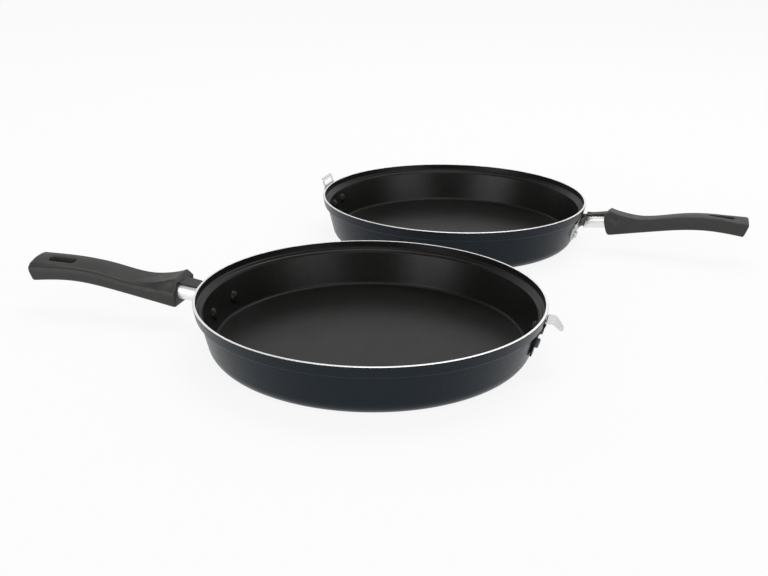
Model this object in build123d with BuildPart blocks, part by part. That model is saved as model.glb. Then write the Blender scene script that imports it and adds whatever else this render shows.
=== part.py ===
from build123d import *
from math import asin, cos, degrees, radians, tan
import os

# Double sided flip pan: two separate frying pans of one diameter.  The hook pan carries a
# hook plate opposite its handle and the loop pan carries a loop plate, so that the loop pan
# can be turned over onto the hook pan, hooked in and closed like a book.
#
# Frame: millimetres, +Z up.  The origin is on the table, under the middle of the hook pan.
# The hook pan's handle points along -X and its hook along +X.  The loop pan stands behind
# it, with its handle along +X.  Each pan is drawn in its own axes first: its handle along
# its own +X, its middle on Z and its base on the table.

os.makedirs("parts", exist_ok=True)

# ---- Where the two pans stand ----
loop_pan_x = 3.5            # middle of the loop pan, from the middle of the hook pan
pan_gap = 30.0              # between the rims of the two pans

# ---- Pan bodies ----
rim_radius = 130.0          # outside of the bare rim
rim_ring = 2.1              # width of the bare turned ring on top of the rim
rim_round = 0.9             # rounding of the outer top edge
hook_pan_depth = 40.5       # base to rim
loop_pan_depth = 42.0
band_height = 8.5           # upright band under the rim, outside
band_taper = 1.7            # how much the band narrows on its way down
step_width = 2.7            # ledge that the band makes on the outside of the wall
step_fall = 0.6
wall_draft = 13.8           # lean of the wall under the band, degrees
wall_thickness = 2.9
floor_thickness = 5.6
foot_round = 12.2           # outside rounding between wall and base
floor_round = 2.4           # inside rounding between wall and floor
ledge_drop = 4.8            # start of the sloping ledge inside, under the rim
ledge_width = 4.6
ledge_fall = 3.7
band_fillet = 1.2           # soft edges of the band outside
ledge_fillet = 1.2          # soft edges of the ledge inside

# ---- Riveted plates on the outside of the wall ----
seam = 0.2                  # gap between the rounding under the band and the top of a plate
bracket_thickness = 2.0
bracket_half_width = 24.0
bracket_foot = 31.0         # lower edge of the bracket's flange, under the rim
bracket_corner = 8.0
bracket_rivet_side = 19.5   # rivet axis, sideways from the handle's middle plane
bracket_rivet_drop = 23.5   # rivet axis where it meets the wall, under the rim
hinge_thickness = 1.2       # sheet of the hook plate and the loop plate
hinge_half_width = 18.0
hinge_foot = 28.5
hinge_corner = 4.0
hinge_rivet_side = 12.5
hinge_rivet_drop = 18.0

# ---- Rivets ----
rivet_diameter = 5.0
rivet_head_diameter = 10.0  # domed head inside the pan
rivet_head_height = 2.5
rivet_tail_diameter = 7.2   # upset head outside
rivet_tail_height = 2.4
rivet_tail_round = 0.7
rivet_clearance = 0.05
rivet_seat = 0.08           # flat heads on curved faces touch at their edge or their middle

# ---- Neck between pan and grip ----
neck_drop = 14.9            # middle of the neck at its root, under the rim
neck_rise = 5.5             # upward tilt of the neck, degrees
neck_root_gap = 2.0         # from the rim to the middle of the neck's root
neck_width = 19.0           # sleeve, outside
neck_height = 12.2
neck_round = 5.6
sleeve_wall = 1.0
sleeve_standoff = 6.7       # the sleeve's end follows the wall at this distance
arm_clearance = 0.15        # bracket's arm inside the sleeve
root_flare = 2.6            # how much thicker the arm is at the flange than in the sleeve
tenon_width = 11.0          # flat end of the arm, inside the grip
tenon_height = 4.0
tenon_length = 22.0
tenon_clearance = 0.3

# ---- Screw, spring washer and nut that hold the grip ----
screw_setback = 13.5        # from the face of the grip's head, level with the tenon
screw_diameter = 5.0
screw_clearance = 0.25
screw_head_diameter = 8.8
screw_head_height = 2.8
screw_slot_width = 1.2
screw_slot_depth = 1.3
counterbore_clearance = 0.3
washer_thickness = 1.2
washer_diameter = 8.6
washer_gap = 0.8            # the split of the spring washer
washer_seat = 3.0           # grip material left under the tenon's pocket
nut_width = 8.0             # across flats
nut_height = 2.7
nut_clearance = 0.3

# ---- Grip ----
grip_gap = 19.5             # from the rim to the face of the grip's head
grip_length = 131.5         # from that face to the tip, along the upper edge
grip_head_half_width = 14.0
grip_waist_half_width = 13.0
grip_end_half_width = 14.2
waist_setback = 48.5        # from the face of the head to the narrowest place
grip_face_lean = 5.2        # sideways lean of the upper face, degrees; a turned grip nests on it
ridge_setback = 4.5         # thumb ridge, from the face of the head
ridge_drop = 1.6
saddle_setback = 33.5       # lowest place behind the ridge, from the face of the head
saddle_drop = 7.2
flat_length = 35.0          # end of the grip, where both grips lie face to face when closed
flat_drop = 0.2
grip_undercut = 5.4         # how much shorter the tip is underneath
grip_end_depth = 15.2       # underside of the tip, under the rim
thin_length = 40.0          # from the thinnest place to the tip
grip_thin_depth = 12.3
belly_setback = 50.5         # a place on the underside, from the face of the head
grip_belly_depth = 17.0      # underside at that place, under the rim
grip_head_depth = 25.0
grip_head_lean = 3.2        # how much the face of the head runs back towards its lower edge
grip_head_skew = 9.6        # turn of the head's face and ridge seen from above, degrees
grip_high_round = 1.6       # upper edge on the high side of the leaning face
grip_low_round = 4.6        # upper edge on its low side
grip_bottom_round = 3.0
grip_corner = 1.8           # cut corners of the tip, seen from above
socket_depth = 4.6          # how far the sleeve goes into the head, in its middle
socket_clearance = 0.2
tongue_gap = 1.8            # from the rim to the tip of the tongue that covers the sleeve
tongue_half_width = 6.2
tongue_tip_drop = 8.2
tongue_root_drop = 4.9
tongue_clearance = 0.2
hang_slot_inset = 25.5      # middle of the slot, from the tip
hang_slot_length = 23.5
hang_slot_width = 7.5

# ---- Hook and loop ----
hook_neck_half_width = 6.0
hook_half_width = 8.0
hook_tip_half_width = 4.0
hook_root_drop = 4.0        # top of the tongue where it leaves the neck
hook_level_length = 5.2     # from the rim to the end of the nearly level part
hook_crest_drop = 4.5
hook_tip_length = 6.2       # from there on to the tip
hook_tip_drop = 11.0
hook_tip_round = 2.5
hook_bend = 3.5
hinge_band_gap = 0.25       # play between the band and a hinge plate that crosses it
hinge_joggle = 3.0          # height over which a hinge plate steps out onto the band
loop_half_width = 14.0
loop_leg_width = 3.0
loop_bar_width = 3.0
loop_top_height = 8.7       # over the rim
loop_bend_height = 1.6      # where the loop starts to lean out, over the rim
loop_window_height = 1.0    # lower edge of the window, over the rim
loop_lean = 3.2             # how far the loop's top leans out
loop_corner = 2.6


# ---- Sizes that follow ----
draft_slope = tan(radians(wall_draft))
draft_cosine = cos(radians(wall_draft))
band_foot_radius = rim_radius - band_taper
wall_top_drop = band_height + step_fall
wall_top_radius = band_foot_radius - step_width
plate_top_drop = wall_top_drop + band_fillet + seam
loop_pan_y = 2 * rim_radius + pan_gap
neck_root_reach = rim_radius + neck_root_gap
tongue_reach = rim_radius + tongue_gap
grip_head_reach = rim_radius + grip_gap
grip_reach = grip_head_reach + grip_length
sleeve_length = (grip_head_reach + socket_depth - neck_root_reach) / cos(radians(neck_rise))
screw_reach = grip_head_reach + screw_setback
ridge_reach = grip_head_reach + ridge_setback
saddle_reach = grip_head_reach + saddle_setback
grip_waist_reach = grip_head_reach + waist_setback
grip_belly_reach = grip_head_reach + belly_setback
grip_thin_reach = grip_reach - thin_length
flat_reach = grip_reach - flat_length
hang_slot_reach = grip_reach - hang_slot_inset
hook_crest_reach = rim_radius + hook_level_length
hook_tip_reach = hook_crest_reach + hook_tip_length


def wall_radius(drop):
    """Outside radius of the wall at a height under the rim."""
    return wall_top_radius - (drop - wall_top_drop) * draft_slope


def band_radius(drop):
    """Outside radius of the band at a height under the rim."""
    return rim_radius - band_taper * drop / band_height


def rivet_planes(depth, side, drop):
    """Two planes that touch the wall from outside, left and right of the pan's X axis."""
    radius = wall_radius(drop)
    turn = degrees(asin(side / radius))
    outward = Vector(1, 0, 0).rotate(Axis.Y, wall_draft)
    spot = Vector(radius, 0, depth - drop)
    return [
        Plane(origin=spot.rotate(Axis.Z, angle), z_dir=outward.rotate(Axis.Z, angle))
        for angle in (turn, -turn)
    ]


def neck_plane(depth, distance):
    """Plane square to the neck at a distance from its root: X is sideways and Y is up."""
    along = Vector(1, 0, 0).rotate(Axis.Y, -neck_rise)
    root = Vector(neck_root_reach, 0, depth - neck_drop)
    return Plane(origin=root + along * distance, x_dir=(0, 1, 0), z_dir=along)


def screw_plane(depth):
    """Plane on the middle of the tenon, across the screw, with Z up along the screw."""
    distance = (screw_reach - neck_root_reach) / cos(radians(neck_rise))
    section = neck_plane(depth, distance)
    return Plane(origin=section.origin, x_dir=section.z_dir, z_dir=section.y_dir)


# ---- Pan body: pressed aluminium, with a stepped band, a bare rim and rivet holes ----
def make_shell(depth, rivet_places):
    across = wall_thickness / draft_cosine
    ledge_foot_drop = ledge_drop + ledge_fall
    ledge_inside = wall_radius(ledge_foot_drop) - across
    outline = (
        ((0, 0), 0),
        ((wall_radius(depth), 0), foot_round),
        ((wall_top_radius, depth - wall_top_drop), band_fillet),
        ((band_foot_radius, depth - band_height), band_fillet),
        ((rim_radius, depth), rim_round),
        ((rim_radius - rim_ring, depth), 0),
        ((ledge_inside + ledge_width, depth - ledge_drop), ledge_fillet),
        ((ledge_inside, depth - ledge_foot_drop), ledge_fillet),
        ((wall_radius(depth - floor_thickness) - across, floor_thickness), floor_round),
        ((0, floor_thickness), 0),
    )
    with BuildPart() as shell:
        with BuildSketch(Plane.XZ):
            with BuildLine():
                FilletPolyline(
                    *[point for point, _ in outline],
                    radius=[radius for _, radius in outline],
                    close=True,
                )
            make_face()
        revolve(axis=Axis.Z)
        for place in rivet_places:
            with Locations(place.location):
                Cylinder(rivet_diameter / 2 + rivet_clearance, 6 * wall_thickness,
                         mode=Mode.SUBTRACT)
    return shell.part


# ---- Solids that shape what lies against the outside of the pan ----
def make_wall_cone(depth, standoff):
    """Everything inside the wall's outer face, moved out by a standoff; the band is left off."""
    lean = standoff / draft_cosine
    with BuildPart() as cone:
        with BuildSketch(Plane.XZ):
            with BuildLine():
                Polyline(
                    (0, 0),
                    (wall_radius(depth) + lean, 0),
                    (wall_radius(0) + lean, depth),
                    (0, depth),
                    close=True,
                )
            make_face()
        revolve(axis=Axis.Z)
    return cone.part


def make_band_ring(depth, gap):
    """The band and the rim, filled to the middle and moved out by a gap."""
    with BuildPart() as ring:
        with BuildSketch(Plane.XZ):
            with BuildLine():
                Polyline(
                    (0, depth - wall_top_drop - band_fillet),
                    (wall_top_radius + gap, depth - wall_top_drop - band_fillet),
                    (wall_top_radius + gap + band_fillet, depth - wall_top_drop - gap),
                    (band_foot_radius + gap, depth - band_height - gap),
                    (rim_radius + gap, depth + gap),
                    (0, depth + gap),
                    close=True,
                )
            make_face()
        revolve(axis=Axis.Z)
    return ring.part


# ---- Rivets: one domed head inside, one upset head outside, a pair for each plate ----
def make_rivets(places, plate_thickness):
    inside = -wall_thickness - rivet_seat
    outside = plate_thickness + rivet_seat
    dome = (rivet_head_diameter ** 2 / 4 + rivet_head_height ** 2) / (2 * rivet_head_height)
    with BuildPart() as rivets:
        with BuildSketch(Plane.XZ):
            with BuildLine():
                head = Polyline(
                    (0, outside + rivet_tail_height),
                    (rivet_tail_diameter / 2, outside + rivet_tail_height),
                    (rivet_tail_diameter / 2, outside),
                    (rivet_diameter / 2, outside),
                    (rivet_diameter / 2, inside),
                    (rivet_head_diameter / 2, inside),
                )
                RadiusArc(head @ 1, (0, inside - rivet_head_height), dome)
                Line((0, inside - rivet_head_height), head @ 0)
            make_face()
        revolve(axis=Axis.Z)
        rim_edge = rivets.edges().filter_by(GeomType.CIRCLE).sort_by(Axis.Z)[-1]
        fillet(rim_edge, rivet_tail_round)
    with BuildPart() as pair:
        for place in places:
            with Locations(place.location):
                add(rivets.part)
    return pair.part


# ---- Handle bracket: a flange on the wall, a flared root, an arm and a flat tenon ----
def make_bracket(depth, rivet_places):
    arm_width = neck_width - 2 * (sleeve_wall + arm_clearance)
    arm_height = neck_height - 2 * (sleeve_wall + arm_clearance)
    arm_round = neck_round - sleeve_wall - arm_clearance
    flange_height = bracket_foot - plate_top_drop
    sleeve_start = wall_radius(neck_drop + neck_height / 2) + sleeve_standoff / draft_cosine
    flare_end = sleeve_start - neck_root_reach - arm_clearance
    with BuildPart() as bracket:
        with BuildSketch(Plane.YZ.offset(wall_radius(depth) - bracket_thickness)):
            with Locations((0, depth - plate_top_drop - flange_height / 2)):
                RectangleRounded(2 * bracket_half_width, flange_height, bracket_corner)
        extrude(amount=rim_radius - wall_radius(depth) + 2 * bracket_thickness)
        add(make_wall_cone(depth, bracket_thickness), mode=Mode.INTERSECT)
        with BuildSketch(neck_plane(depth, flare_end - sleeve_standoff)):
            RectangleRounded(arm_width + 2 * root_flare, arm_height + 2 * root_flare,
                             arm_round + root_flare)
        with BuildSketch(neck_plane(depth, flare_end)):
            RectangleRounded(arm_width, arm_height, arm_round)
        loft()
        with BuildSketch(neck_plane(depth, flare_end)):
            RectangleRounded(arm_width, arm_height, arm_round)
        extrude(amount=sleeve_length - flare_end)
        with BuildSketch(neck_plane(depth, sleeve_length)):
            Rectangle(tenon_width, tenon_height)
        extrude(amount=tenon_length)
        add(make_wall_cone(depth, 0), mode=Mode.SUBTRACT)
        add(make_band_ring(depth, hinge_band_gap), mode=Mode.SUBTRACT)
        for place in rivet_places:
            with Locations(place.location):
                Cylinder(rivet_diameter / 2 + rivet_clearance, 6 * wall_thickness,
                         mode=Mode.SUBTRACT)
        with Locations(screw_plane(depth).location):
            Cylinder(screw_diameter / 2 + screw_clearance, 2 * tenon_height,
                     mode=Mode.SUBTRACT)
    return bracket.part


# ---- Sleeve: the bright oval tube that covers the neck ----
def make_sleeve(depth):
    with BuildPart() as sleeve:
        with BuildSketch(neck_plane(depth, -sleeve_standoff)):
            RectangleRounded(neck_width, neck_height, neck_round)
            RectangleRounded(neck_width - 2 * sleeve_wall, neck_height - 2 * sleeve_wall,
                             neck_round - sleeve_wall, mode=Mode.SUBTRACT)
        extrude(amount=sleeve_standoff + sleeve_length)
        add(make_wall_cone(depth, sleeve_standoff), mode=Mode.SUBTRACT)
    return sleeve.part


# ---- Grip: one moulding with a thumb ridge, a tongue over the sleeve and a hanging slot ----
def make_grip(depth):
    rise = tan(radians(neck_rise))
    cover = neck_height / 2 / cos(radians(neck_rise)) + tongue_clearance

    def over_sleeve(reach):
        return depth - neck_drop + (reach - neck_root_reach) * rise + cover

    def long_edges(body, side):
        edges = body.edges().filter_by(lambda edge: edge.length > grip_head_depth)
        return edges.filter_by(lambda edge: edge.center().Y * side > tenon_width).sort_by(Axis.Z)

    head_top = (grip_head_reach, depth - tongue_root_drop)
    head_foot = (grip_head_reach + grip_head_lean, depth - grip_head_depth)
    tip_top = (grip_reach, depth - flat_drop)
    tip_foot = (grip_reach - grip_undercut, depth - grip_end_depth)
    half_block = grip_end_half_width + grip_head_half_width
    lean_slope = tan(radians(grip_face_lean))
    skew_slope = tan(radians(grip_head_skew))
    inner_reach = grip_head_reach + grip_head_lean + tongue_half_width * skew_slope
    across = Vector(skew_slope, 1, -lean_slope)
    with BuildPart() as grip:
        with BuildSketch(Plane(across * -half_block, (1, 0, 0), (0, -1, 0))):
            with BuildLine():
                upper = Spline(
                    (ridge_reach, depth - ridge_drop),
                    (saddle_reach, depth - saddle_drop),
                    (flat_reach, depth - flat_drop),
                    tangents=((1, -0.34), (1, 0)),
                )
                Polyline(upper @ 1, (2 * grip_reach, depth - flat_drop), (2 * grip_reach, 0),
                         (head_foot[0], 0), head_foot, head_top, upper @ 0)
            make_face()
        extrude(amount=2 * half_block * across.length, dir=across)
        with BuildSketch(Plane.XZ.offset(half_block)):
            with BuildLine():
                lower = Spline(tip_foot, (grip_thin_reach, depth - grip_thin_depth),
                               (grip_belly_reach, depth - grip_belly_depth), head_foot,
                               tangents=((-1, 0.14), (-1, -0.17)))
                beyond = lower @ 1 + lower % 1 * grip_gap
                Polyline(lower @ 1, beyond, (beyond.X, 2 * depth), (grip_reach, 2 * depth),
                         tip_top, lower @ 0)
            make_face()
        extrude(amount=-2 * half_block, mode=Mode.INTERSECT)
        with BuildSketch():
            with BuildLine():
                side = Spline(
                    (tongue_reach, grip_head_half_width),
                    (grip_waist_reach, grip_waist_half_width),
                    (grip_reach - grip_corner, grip_end_half_width),
                    tangents=((1, 0), (1, 0)),
                )
                corner = Line(side @ 1, (grip_reach, grip_end_half_width - grip_corner))
                Line(corner @ 1, (grip_reach, 0))
                Line(side @ 0, (tongue_reach, 0))
                mirror(about=Plane.XZ)
            make_face()
        extrude(amount=2 * depth, mode=Mode.INTERSECT)
        fillet(long_edges(grip, 1)[1:], grip_low_round)
        fillet(long_edges(grip, -1)[1:], grip_high_round)
        fillet(long_edges(grip, 1)[:1] + long_edges(grip, -1)[:1], grip_bottom_round)
        tongue_side = Plane((0, -tongue_half_width, tongue_half_width * lean_slope), (1, 0, 0),
                            (0, -1, 0))
        with BuildSketch(tongue_side):
            with BuildLine():
                Polyline(
                    (tongue_reach, depth - tongue_tip_drop),
                    head_top,
                    (inner_reach, depth - tongue_root_drop),
                    (inner_reach, over_sleeve(inner_reach)),
                    (tongue_reach, over_sleeve(tongue_reach)),
                    close=True,
                )
            make_face()
        extrude(amount=2 * tongue_half_width / cos(radians(grip_face_lean)),
                dir=(0, 1, -lean_slope))
        with BuildSketch(neck_plane(depth, 0)):
            RectangleRounded(neck_width + 2 * socket_clearance, neck_height + 2 * socket_clearance,
                             neck_round + socket_clearance)
        extrude(amount=sleeve_length + socket_clearance, mode=Mode.SUBTRACT)
        with BuildSketch(neck_plane(depth, 0)):
            Rectangle(tenon_width + 2 * tenon_clearance, tenon_height + 2 * tenon_clearance)
            with Locations((0, (tenon_height + nut_height + nut_clearance) / 2)):
                Rectangle(nut_width + 2 * nut_clearance, nut_height + nut_clearance)
        extrude(amount=sleeve_length + tenon_length + tenon_clearance, mode=Mode.SUBTRACT)
        with BuildSketch(Plane.XY.offset(depth + grip_end_depth)):
            with Locations((hang_slot_reach, 0)):
                SlotOverall(hang_slot_length, hang_slot_width)
        extrude(amount=-3 * grip_end_depth, mode=Mode.SUBTRACT)
        with BuildSketch(screw_plane(depth).offset(-tenon_height / 2)):
            Circle(screw_diameter / 2 + screw_clearance)
        extrude(amount=-washer_seat - tenon_height, mode=Mode.SUBTRACT)
        with BuildSketch(screw_plane(depth).offset(-tenon_height / 2 - washer_seat)):
            Circle(screw_head_diameter / 2 + counterbore_clearance)
        extrude(amount=-grip_head_depth, mode=Mode.SUBTRACT)
    return grip.part


# ---- Grip fastening: a screw from below, a split washer under its head, a nut on the tenon ----
def make_screw(depth):
    seat = -tenon_height / 2 - washer_seat - washer_thickness
    with BuildPart() as screw:
        with BuildSketch(screw_plane(depth).offset(seat)):
            Circle(screw_diameter / 2)
        extrude(amount=tenon_height + washer_seat + washer_thickness + nut_height)
        with BuildSketch(screw_plane(depth).offset(seat)):
            Circle(screw_head_diameter / 2)
        extrude(amount=-screw_head_height)
        with BuildSketch(screw_plane(depth).offset(seat - screw_head_height)):
            Rectangle(screw_slot_width, 2 * screw_head_diameter)
        extrude(amount=screw_slot_depth, mode=Mode.SUBTRACT)
    return screw.part


def make_washer(depth):
    with BuildPart() as washer:
        with BuildSketch(screw_plane(depth).offset(-tenon_height / 2 - washer_seat)):
            Circle(washer_diameter / 2)
            Circle(screw_diameter / 2 + screw_clearance, mode=Mode.SUBTRACT)
            with Locations((washer_diameter / 2, 0)):
                Rectangle(washer_diameter, washer_gap, mode=Mode.SUBTRACT)
        extrude(amount=-washer_thickness)
    return washer.part


def make_nut(depth):
    with BuildPart() as nut:
        with BuildSketch(screw_plane(depth).offset(tenon_height / 2)):
            RegularPolygon(nut_width / 2, 6, major_radius=False)
            Circle(screw_diameter / 2 + rivet_clearance, mode=Mode.SUBTRACT)
        extrude(amount=nut_height)
    return nut.part


# ---- Hinge plates: a riveted sheet that steps out over the band and ends in a hook or a loop ----
def make_hinge_sheet(depth, upper_end):
    """The sheet's section turned about the pan's axis, from its foot up to its upper end."""
    lean = hinge_thickness / draft_cosine
    joggle_drop = band_height + hinge_joggle
    inner = [
        (wall_radius(hinge_foot), depth - hinge_foot),
        (wall_radius(joggle_drop), depth - joggle_drop),
        (band_radius(band_height) + hinge_band_gap, depth - band_height),
        *upper_end,
    ]
    outer = [(radius + lean, height) for radius, height in reversed(inner)]
    with BuildPart() as sheet:
        with BuildSketch(Plane.XZ):
            with BuildLine():
                Polyline(*inner, *outer, close=True)
            make_face()
        revolve(axis=Axis.Z)
    return sheet.part


def make_hook_plate(depth, rivet_places):
    neck_top_drop = hook_root_drop
    neck_radius = band_radius(neck_top_drop) + hinge_band_gap
    root = (neck_radius + hinge_thickness / 2, depth - hook_root_drop - hinge_thickness / 2)
    crest = (hook_crest_reach, depth - hook_crest_drop - hinge_thickness / 2)
    tip = (hook_tip_reach, depth - hook_tip_drop - hinge_thickness / 2)
    with BuildPart() as tongue:
        with BuildSketch(Plane.XZ):
            with BuildLine() as path:
                FilletPolyline(root, crest, tip, radius=hook_bend)
            trace(path.line, line_width=hinge_thickness)
        extrude(amount=hook_half_width, both=True)
        with BuildSketch(Plane.XY.offset(depth - hinge_foot)):
            with BuildLine():
                FilletPolyline(
                    (neck_radius - hinge_thickness, -hook_half_width),
                    (hook_crest_reach, -hook_half_width),
                    (hook_tip_reach + hinge_thickness, -hook_tip_half_width),
                    (hook_tip_reach + hinge_thickness, hook_tip_half_width),
                    (hook_crest_reach, hook_half_width),
                    (neck_radius - hinge_thickness, hook_half_width),
                    radius=(0, 2 * hook_tip_round, hook_tip_round, hook_tip_round,
                            2 * hook_tip_round, 0),
                    close=True,
                )
            make_face()
        extrude(amount=2 * hinge_foot, mode=Mode.INTERSECT)
    plate_height = hinge_foot - plate_top_drop
    with BuildPart() as hook:
        with BuildSketch(Plane.YZ.offset(wall_radius(depth))):
            with Locations((0, depth - plate_top_drop - plate_height / 2)):
                RectangleRounded(2 * hinge_half_width, plate_height, hinge_corner)
            with Locations((0, depth - hinge_foot / 2)):
                Rectangle(2 * hook_neck_half_width, hinge_foot)
        extrude(amount=rim_radius - wall_radius(depth) + 2 * hinge_joggle)
        add(make_hinge_sheet(depth, [(neck_radius, depth - neck_top_drop)]),
            mode=Mode.INTERSECT)
        add(tongue.part)
        for place in rivet_places:
            with Locations(place.location):
                Cylinder(rivet_diameter / 2 + rivet_clearance, 6 * wall_thickness,
                         mode=Mode.SUBTRACT)
    return hook.part


def make_loop_plate(depth, rivet_places):
    upper_end = [
        (rim_radius + hinge_band_gap, depth),
        (rim_radius + hinge_band_gap, depth + loop_bend_height),
        (rim_radius + hinge_band_gap + loop_lean, depth + loop_top_height),
    ]
    plate_height = hinge_foot - plate_top_drop
    frame_height = loop_top_height + hinge_foot - hinge_corner
    window_height = loop_top_height - loop_bar_width - loop_window_height
    with BuildPart() as loop:
        with BuildSketch(Plane.YZ.offset(wall_radius(depth))):
            with Locations((0, depth - plate_top_drop - plate_height / 2)):
                RectangleRounded(2 * hinge_half_width, plate_height, hinge_corner)
            with Locations((0, depth + loop_top_height - frame_height / 2)):
                RectangleRounded(2 * loop_half_width, frame_height, loop_corner)
            with Locations((0, depth + loop_window_height + window_height / 2)):
                Rectangle(2 * (loop_half_width - loop_leg_width), window_height,
                          mode=Mode.SUBTRACT)
        extrude(amount=rim_radius - wall_radius(depth) + 2 * loop_lean)
        add(make_hinge_sheet(depth, upper_end), mode=Mode.INTERSECT)
        for place in rivet_places:
            with Locations(place.location):
                Cylinder(rivet_diameter / 2 + rivet_clearance, 6 * wall_thickness,
                         mode=Mode.SUBTRACT)
    return loop.part


# ---- Build both pans ----
pans = (
    ("hook", hook_pan_depth, Location((0, 0, 0), (0, 0, 180)), make_hook_plate),
    ("loop", loop_pan_depth, Location((loop_pan_x, loop_pan_y, 0)), make_loop_plate),
)
for hinge_name, pan_depth, pan_place, make_hinge_plate in pans:
    grip_places = rivet_planes(pan_depth, bracket_rivet_side, bracket_rivet_drop)
    hinge_places = rivet_planes(pan_depth, hinge_rivet_side, hinge_rivet_drop)
    opposite = Location((0, 0, 0), (0, 0, 180))
    turned_places = [Plane(opposite * place.location) for place in hinge_places]
    pieces = {
        f"{hinge_name}_pan_shell": make_shell(pan_depth, grip_places + turned_places),
        f"{hinge_name}_pan_bracket": make_bracket(pan_depth, grip_places),
        f"{hinge_name}_pan_bracket_rivets": make_rivets(grip_places, bracket_thickness),
        f"{hinge_name}_pan_sleeve": make_sleeve(pan_depth),
        f"{hinge_name}_pan_grip": make_grip(pan_depth),
        f"{hinge_name}_pan_grip_screw": make_screw(pan_depth),
        f"{hinge_name}_pan_grip_washer": make_washer(pan_depth),
        f"{hinge_name}_pan_grip_nut": make_nut(pan_depth),
        f"{hinge_name}_plate": opposite * make_hinge_plate(pan_depth, hinge_places),
        f"{hinge_name}_plate_rivets": opposite * make_rivets(hinge_places, hinge_thickness),
    }
    for piece_name, piece in pieces.items():
        finished = pan_place * piece
        finished.label = piece_name
        export_step(finished, f"parts/{piece_name}.step")
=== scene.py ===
from math import asin, cos, pi, radians, sin, tan

import bmesh
import bpy
import numpy as np
from mathutils import Matrix, Vector


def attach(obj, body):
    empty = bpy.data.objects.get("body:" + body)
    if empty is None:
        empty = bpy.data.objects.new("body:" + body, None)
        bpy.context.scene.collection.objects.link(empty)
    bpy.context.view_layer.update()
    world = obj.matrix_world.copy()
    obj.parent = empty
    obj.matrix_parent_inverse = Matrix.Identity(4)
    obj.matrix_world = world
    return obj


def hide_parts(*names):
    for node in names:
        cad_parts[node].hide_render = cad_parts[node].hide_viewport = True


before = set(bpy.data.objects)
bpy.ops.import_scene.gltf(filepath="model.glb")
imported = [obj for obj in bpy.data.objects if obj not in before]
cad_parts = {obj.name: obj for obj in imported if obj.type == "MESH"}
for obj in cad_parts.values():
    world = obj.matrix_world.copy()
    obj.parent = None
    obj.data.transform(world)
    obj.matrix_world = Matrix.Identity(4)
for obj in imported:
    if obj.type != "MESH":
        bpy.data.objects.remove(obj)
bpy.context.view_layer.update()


# ---- Pan bodies ----
# Two pans pressed from aluminium, a shallow one with a hook and a deeper one with a loop. They
# are lacquered dark outside and coated black inside, and the top edge of the stepped band is
# turned bare. Each is drawn in its own axes, in millimetres, with its handle along +X.
pans = {
    "hook": {"depth": 40.5, "middle": (0.0, 0.0), "turn": -1},
    "loop": {"depth": 42.0, "middle": (3.5, 290.0), "turn": 1},
}
rim_radius = 130.0
rim_ring = 2.1
band_height = 8.5
band_foot_radius = 128.3
wall_top_radius = 125.6
wall_top_drop = 9.1
wall_lean = radians(13.8)
wall_across = 2.99
ledge_drop = 8.5
floor_height = 5.6
lacquer_colour = (0.0045, 0.0090, 0.0145, 1)
coating_colour = (0.0060, 0.0060, 0.0055, 1)
rim_colour = (0.99, 0.99, 0.98, 1)


def wall_radius(drop):
    """Outside radius of the wall at a height under the rim, on a straight lean."""
    return wall_top_radius - (drop - wall_top_drop) * tan(wall_lean)


def unit(vectors):
    """Each vector divided by its own length."""
    return vectors / np.linalg.norm(vectors, axis=-1, keepdims=True)


def round_corners(corners, radii, steps):
    """An arc for each corner of a closed row of corners.  Its centre lies on the bisector of the
    two sides, at the radius divided by the sine of half their angle, and it touches both sides."""
    back = unit(np.roll(corners, 1, axis=-2) - corners)
    ahead = unit(np.roll(corners, -1, axis=-2) - corners)
    half = np.arccos(np.clip((back * ahead).sum(-1), -1, 1)) / 2
    bisector = unit(back + ahead)
    across = unit(ahead - back)
    radii = np.broadcast_to(radii, half.shape)
    centre = corners + bisector * (radii / np.sin(half))[..., None]
    turn = np.linspace(-1, 1, steps) * (pi / 2 - half)[..., None]
    spoke = np.sin(turn)[..., None] * across[..., None, :] - np.cos(turn)[..., None] * bisector[..., None, :]
    return centre[..., None, :] + radii[..., None, None] * spoke


def join_arcs(arcs, shares):
    """One closed row of points: every arc, then points at the given shares of the way to the next."""
    ends = arcs[..., -1, :]
    starts = np.roll(arcs[..., 0, :], -1, axis=-2)
    sides = ends[..., None, :] + (starts - ends)[..., None, :] * np.asarray(shares)[:, None]
    rows = np.concatenate((arcs, sides), axis=-2)
    return rows.reshape(*rows.shape[:-3], -1, rows.shape[-1])


def quads(rows, columns, wrap=True):
    """Quads between neighbours of a grid of rows and columns; with wrap the last column meets the first."""
    index = np.arange(rows * columns).reshape(rows, columns)
    if wrap:
        index = np.hstack((index, index[:, :1]))
    return np.stack((index[:-1, :-1], index[:-1, 1:], index[1:, 1:], index[1:, :-1]), -1).reshape(-1, 4)


def set_down(points, pan):
    """A pan's own axes to the shared frame: half a turn for the hook pan, a shift, then metres."""
    turn = np.array([pan["turn"], pan["turn"], 1.0])
    return (points * turn + np.array([*pan["middle"], 0.0])) / 1000


def make_piece(name, points, faces, finishes, choice=None, sharp=35):
    """A mesh object from points in metres and quads.  Points that fall together, as at a pole, are
    merged, and edges that turn by more than the sharp angle stay crisp."""
    mesh = bpy.data.meshes.new(name)
    mesh.from_pydata(points.reshape(-1, 3).tolist(), [], faces.tolist())
    if choice is not None:
        mesh.polygons.foreach_set("material_index", np.asarray(choice, np.int32))
    merged = bmesh.new()
    merged.from_mesh(mesh)
    bmesh.ops.remove_doubles(merged, verts=merged.verts, dist=2e-7)
    merged.to_mesh(mesh)
    merged.free()
    for finish in finishes:
        mesh.materials.append(finish)
    mesh.shade_smooth()
    mesh.set_sharp_from_angle(angle=radians(sharp))
    piece = bpy.data.objects.new(name, mesh)
    bpy.context.scene.collection.objects.link(piece)
    return piece


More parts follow.
